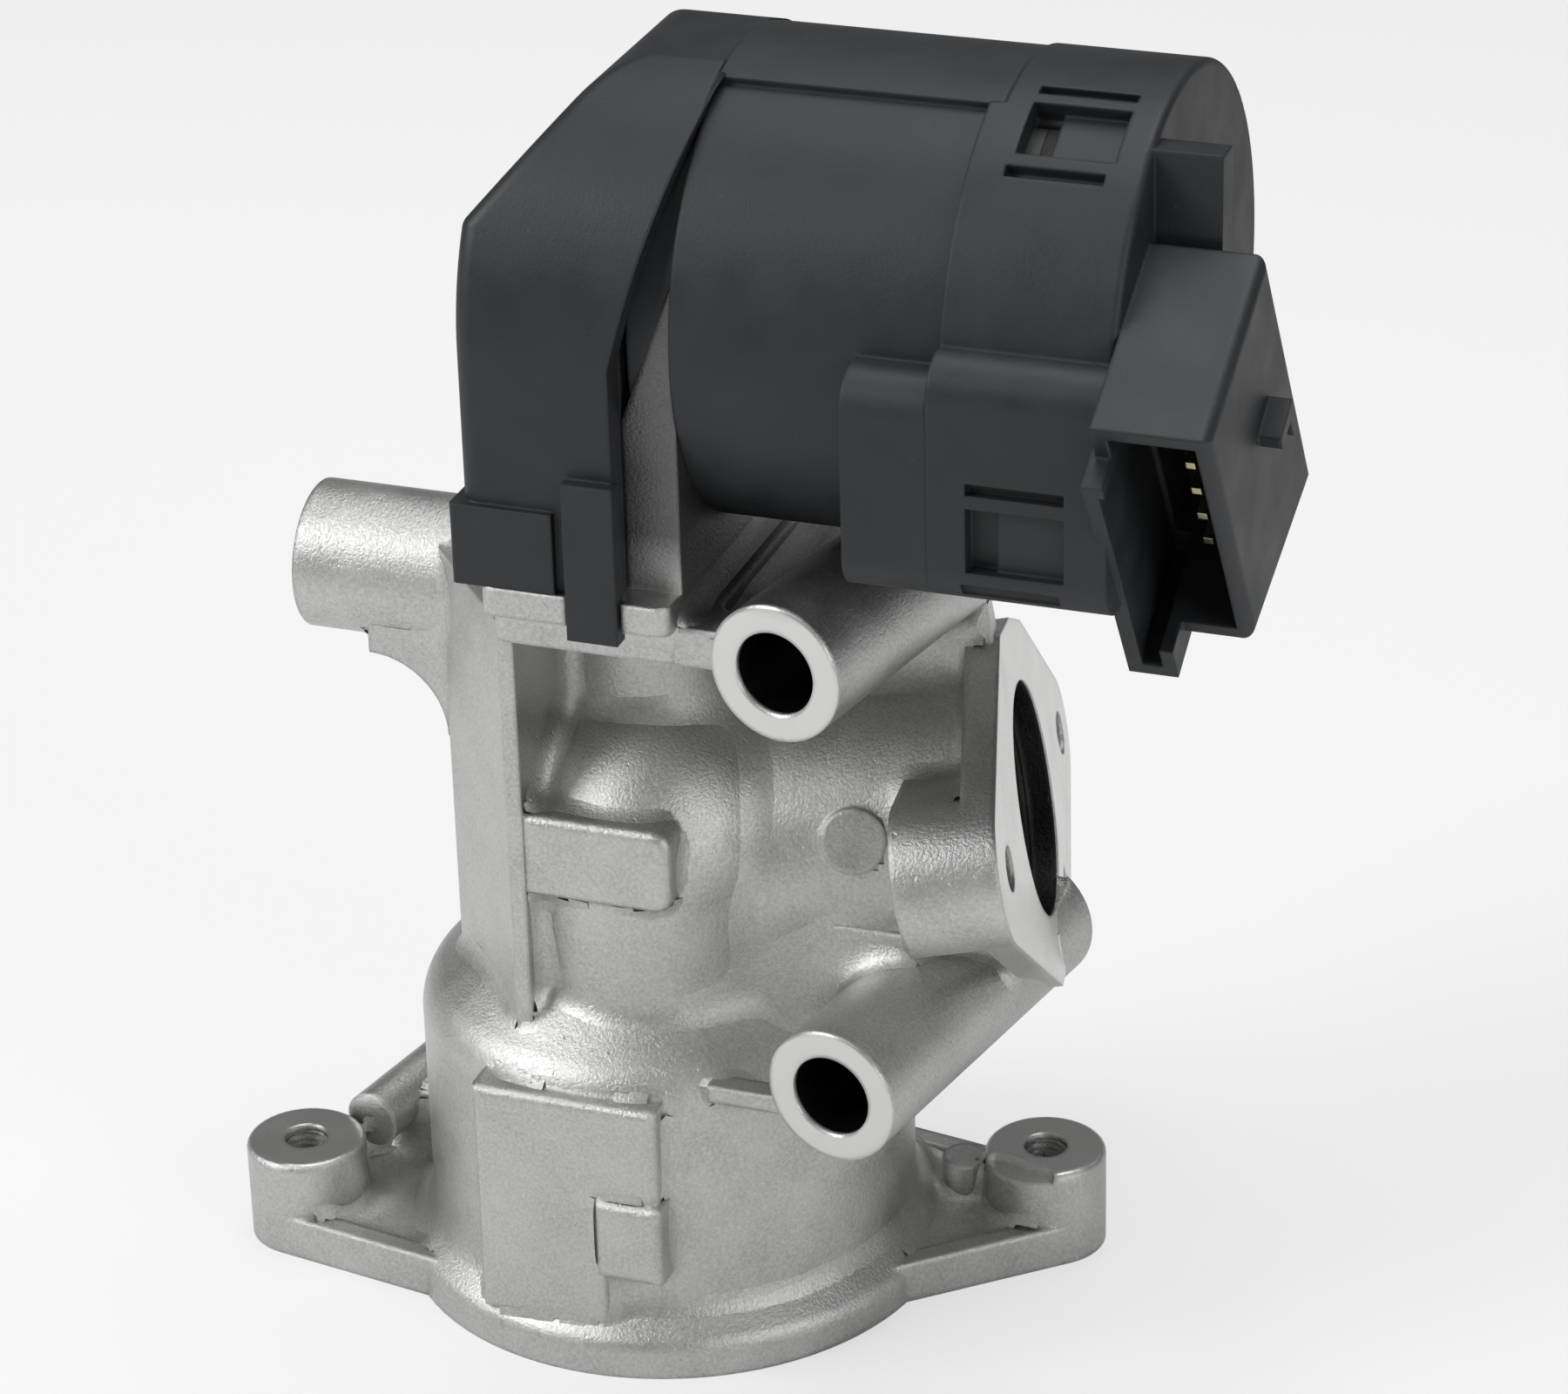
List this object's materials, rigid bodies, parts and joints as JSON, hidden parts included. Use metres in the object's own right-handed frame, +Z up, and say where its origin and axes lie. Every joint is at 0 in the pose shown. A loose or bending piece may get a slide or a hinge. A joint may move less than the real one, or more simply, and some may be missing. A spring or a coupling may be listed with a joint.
{
  "type": "egr valve",
  "caption": "Motor-driven gas valve with a cast aluminium body, a round inlet flange below, a side outlet flange, tube bosses, a moulded gear cover and a motor housing with a connector.",
  "frame": {"origin": "centre of the base flange's underside, on the valve stem's axis", "axes": "+Z runs up the valve stem from the gas inlet; +X runs along the motor, from the gear cover to the connector; the bosses' plain faces look towards -Y"},
  "size_m": [0.1222, 0.0771, 0.147],
  "materials": {
    "casting": "die cast and bead blasted, machined on the faces",
    "steel": "ground",
    "bronze": "sintered",
    "rubber": "matt",
    "spring": "drawn wire",
    "gear_plastic": "moulded",
    "brass": "hobbed",
    "core_steel": "stacked sheet",
    "copper": "enamelled wire and bars",
    "magnet": "ferrite",
    "can_steel": "drawn and plated",
    "carbon": "pressed carbon",
    "black_plastic": "moulded, fine grain",
    "contact": "plated",
    "board": "coated board"
  },
  "bodies": {
    "housing": {"valve_body": "casting", "valve_seat": "steel", "stem_bush": "bronze", "stem_seal": "rubber", "seal_cup": "steel", "return_spring": "spring", "output_axle": "steel", "idler_axle": "steel", "motor_magnets": "magnet", "motor_can": "can_steel", "front_bearing": "bronze", "rear_bearing": "bronze", "brush_holder": "gear_plastic", "brushes": "carbon", "motor_screws": "steel", "gear_cover": "black_plastic", "cover_gasket": "rubber", "motor_housing": "black_plastic", "housing_seal": "rubber", "end_cap": "black_plastic", "connector_pins": "contact", "sensor_board": "board"},
    "rotor": {"motor_shaft": "steel", "rotor_core": "core_steel", "rotor_windings": "copper", "commutator": "copper", "motor_pinion": "brass"},
    "idler": {"idler_gear": "gear_plastic"},
    "output": {"output_gear": "gear_plastic", "sensor_magnet": "magnet"},
    "valve": {"valve_poppet": "steel", "spring_retainer": "steel", "stem_rack": "steel"}
  },
  "joints": [
    {"name": "motor_spin", "type": "hinge", "parent": "housing", "child": "rotor", "pos_m": [0, 0, 0.1204], "axis": [-1, 0, 0], "range_deg": [0, 378]},
    {"name": "idler_turn", "type": "hinge", "parent": "housing", "child": "idler", "pos_m": [0, 0.009, 0.10815], "axis": [-1, 0, 0], "range_deg": [-135, 0]},
    {"name": "output_turn", "type": "hinge", "parent": "housing", "child": "output", "pos_m": [0, -0.01, 0.1054], "axis": [-1, 0, 0], "range_deg": [0, 45]},
    {"name": "valve_lift", "type": "slide", "parent": "housing", "child": "valve", "axis": [0, 0, -1], "range_m": [0, 0.0055], "deforming": ["return_spring"]}
  ],
  "couplings": [
    {"joint": "idler_turn", "follows": "motor_spin", "ratio": -0.35714},
    {"joint": "output_turn", "follows": "motor_spin", "ratio": 0.11905},
    {"joint": "valve_lift", "follows": "motor_spin", "m_per_rad": 0.00083333}
  ]
}
